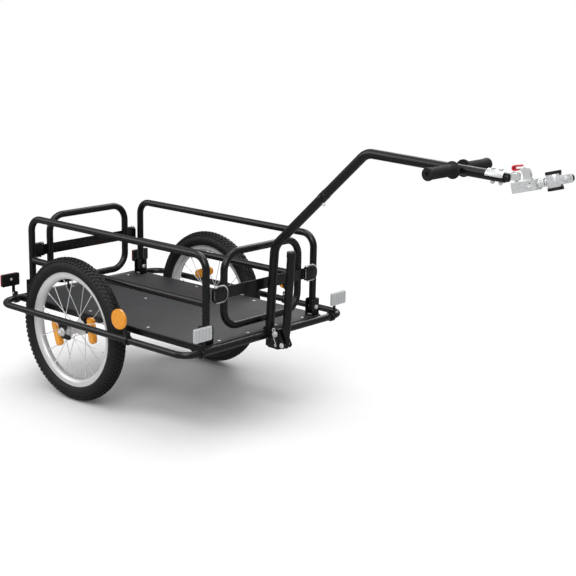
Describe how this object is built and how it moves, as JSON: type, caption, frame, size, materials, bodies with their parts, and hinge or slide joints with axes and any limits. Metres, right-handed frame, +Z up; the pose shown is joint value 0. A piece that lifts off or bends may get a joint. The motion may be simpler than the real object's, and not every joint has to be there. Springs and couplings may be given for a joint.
{
  "type": "bicycle cargo trailer",
  "caption": "Two-wheeled cargo trailer with tube side rails, lift-off end panels, a bent drawbar with a handle and a seatpost hitch.",
  "frame": {"origin": "point on the ground under the middle of the trailer's overall box", "axes": "+X forward to the bicycle along the drawbar, +Y to the trailer's left, +Z up"},
  "size_m": [1.6444, 0.644, 0.7604],
  "materials": {
    "painted_tube": "satin black powder coat",
    "load_board": "matte dark grey",
    "alloy": "turned and polished",
    "zinc": "bright zinc plate",
    "tyre": "matte black",
    "rubber": "matte black",
    "black_plastic": "satin black",
    "amber_lens": "gloss amber",
    "clear_lens": "gloss clear",
    "red_lens": "gloss red",
    "red_dip": "gloss red dip coat"
  },
  "bodies": {
    "frame": {"base_frame": "painted_tube", "floor_board": "load_board", "guard_tube_right": "painted_tube", "guard_tube_left": "painted_tube", "socket_front_right": "painted_tube", "socket_rear_right": "painted_tube", "socket_front_left": "painted_tube", "socket_rear_left": "painted_tube", "side_rail_right": "painted_tube", "side_rail_left": "painted_tube", "drawbar_bracket": "painted_tube", "stand_bolt": "zinc", "lower_drawbar": "painted_tube", "upper_drawbar": "painted_tube", "drawbar_end_cap": "black_plastic", "grip_right": "rubber", "grip_left": "rubber", "coupling_eye": "zinc", "saddle_bolt_1": "zinc", "saddle_bolt_2": "zinc", "axle_right": "zinc", "axle_left": "zinc"},
    "wheel_right": {"tyre_right": "tyre", "rim_right": "alloy", "hub_right": "alloy", "spoke_reflector_right_a": "amber_lens", "spoke_reflector_right_b": "amber_lens"},
    "wheel_left": {"tyre_left": "tyre", "rim_left": "alloy", "hub_left": "alloy", "spoke_reflector_left_a": "amber_lens", "spoke_reflector_left_b": "amber_lens"},
    "panel_front": {"panel_front": "painted_tube"},
    "panel_rear": {"panel_rear": "painted_tube"},
    "lock_front_near": {"lock_pin_front_near": "zinc"},
    "lock_front_far": {"lock_pin_front_far": "zinc"},
    "lock_rear_near": {"lock_pin_rear_near": "zinc"},
    "lock_rear_far": {"lock_pin_rear_far": "zinc"},
    "drawbar_pin": {"drawbar_pin": "zinc"},
    "button": {"length_button": "zinc"},
    "stand": {"prop_stand": "painted_tube"},
    "post": {"coupling_post": "zinc"},
    "hitch": {"hitch_channel": "zinc", "hitch_spring": "zinc"},
    "lever": {"latch_lever": "zinc", "lever_grip": "red_dip"},
    "clamp": {"swivel_bolt": "zinc", "seatpost_clamp": "zinc", "clamp_bush": "rubber", "clamp_bolt": "zinc"},
    "front_reflector_right": {"front_reflector_right": "clear_lens"},
    "rear_reflector_right": {"rear_reflector_body_right": "black_plastic", "rear_reflector_lens_right": "red_lens"},
    "side_reflector_right": {"side_reflector_right": "amber_lens", "side_clamp_right": "black_plastic"},
    "front_reflector_left": {"front_reflector_left": "clear_lens"},
    "rear_reflector_left": {"rear_reflector_body_left": "black_plastic", "rear_reflector_lens_left": "red_lens"},
    "side_reflector_left": {"side_reflector_left": "amber_lens", "side_clamp_left": "black_plastic"}
  },
  "joints": [
    {"name": "wheel_right_spin", "type": "hinge", "parent": "frame", "child": "wheel_right", "pos_m": [-0.51487, -0.263, 0.2], "axis": [0, 1, 0], "continuous": true},
    {"name": "wheel_left_spin", "type": "hinge", "parent": "frame", "child": "wheel_left", "pos_m": [-0.51487, 0.263, 0.2], "axis": [0, 1, 0], "continuous": true},
    {"name": "panel_front_lift", "type": "slide", "parent": "frame", "child": "panel_front", "axis": [0, 0, 1], "range_m": [0, 0.25]},
    {"name": "panel_rear_lift", "type": "slide", "parent": "frame", "child": "panel_rear", "axis": [0, 0, 1], "range_m": [0, 0.25]},
    {"name": "lock_front_near_swing", "type": "hinge", "parent": "panel_front", "child": "lock_front_near", "pos_m": [-0.04437, -0.19026, 0.367], "axis": [0, 0, 1], "range_deg": [-150, 0]},
    {"name": "lock_front_far_swing", "type": "hinge", "parent": "panel_front", "child": "lock_front_far", "pos_m": [-0.04437, 0.1588, 0.367], "axis": [0, 0, 1], "range_deg": [-150, 0]},
    {"name": "lock_rear_near_swing", "type": "hinge", "parent": "panel_rear", "child": "lock_rear_near", "pos_m": [-0.78238, 0.19026, 0.367], "axis": [0, 0, 1], "range_deg": [-150, 0]},
    {"name": "lock_rear_far_swing", "type": "hinge", "parent": "panel_rear", "child": "lock_rear_far", "pos_m": [-0.78238, -0.1588, 0.367], "axis": [0, 0, 1], "range_deg": [-150, 0]},
    {"name": "drawbar_pin_pull", "type": "slide", "parent": "frame", "child": "drawbar_pin", "axis": [0, -1, 0], "range_m": [0, 0.05]},
    {"name": "length_button_press", "type": "slide", "parent": "frame", "child": "button", "axis": [-0.6972, 0, 0.7169], "range_m": [0, 0.004], "stiffness_N_per_m": 400, "springref_m": -0.002},
    {"name": "stand_swing", "type": "hinge", "parent": "frame", "child": "stand", "pos_m": [0.02513, 0, 0.214], "axis": [0, 1, 0], "range_deg": [0, 140]},
    {"name": "hitch_pitch", "type": "hinge", "parent": "frame", "child": "post", "pos_m": [0.6842, 0, 0.73302], "axis": [0, 1, 0], "range_deg": [-7, 7]},
    {"name": "hitch_yaw", "type": "hinge", "parent": "post", "child": "hitch", "pos_m": [0.6842, 0, 0.73302], "axis": [-0.2588, 0, 0.9659], "range_deg": [-70, 70]},
    {"name": "latch_lever_open", "type": "hinge", "parent": "hitch", "child": "lever", "pos_m": [0.72429, 0, 0.71477], "axis": [0, 1, 0], "range_deg": [0, 20], "stiffness_Nm_per_rad": 0.2, "springref_deg": -20.05},
    {"name": "clamp_roll", "type": "hinge", "parent": "hitch", "child": "clamp", "pos_m": [0.74135, 0, 0.72452], "axis": [0.9659, 0, 0.2588], "range_deg": [-60, 60]},
    {"name": "front_reflector_right_aim", "type": "hinge", "parent": "frame", "child": "front_reflector_right", "pos_m": [-0.03188, -0.254, 0.232], "axis": [0, 1, 0], "range_deg": [-20, 30]},
    {"name": "rear_reflector_right_aim", "type": "hinge", "parent": "frame", "child": "rear_reflector_right", "pos_m": [-0.79888, -0.2433, 0.232], "axis": [0, 1, 0], "range_deg": [-30, 20]},
    {"name": "side_reflector_right_aim", "type": "hinge", "parent": "frame", "child": "side_reflector_right", "pos_m": [-0.24788, -0.306, 0.232], "axis": [1, 0, 0], "range_deg": [-10, 30]},
    {"name": "front_reflector_left_aim", "type": "hinge", "parent": "frame", "child": "front_reflector_left", "pos_m": [-0.03188, 0.254, 0.232], "axis": [0, 1, 0], "range_deg": [-20, 30]},
    {"name": "rear_reflector_left_aim", "type": "hinge", "parent": "frame", "child": "rear_reflector_left", "pos_m": [-0.79888, 0.2433, 0.232], "axis": [0, 1, 0], "range_deg": [-30, 20]},
    {"name": "side_reflector_left_aim", "type": "hinge", "parent": "frame", "child": "side_reflector_left", "pos_m": [-0.24788, 0.306, 0.232], "axis": [1, 0, 0], "range_deg": [-30, 10]}
  ]
}
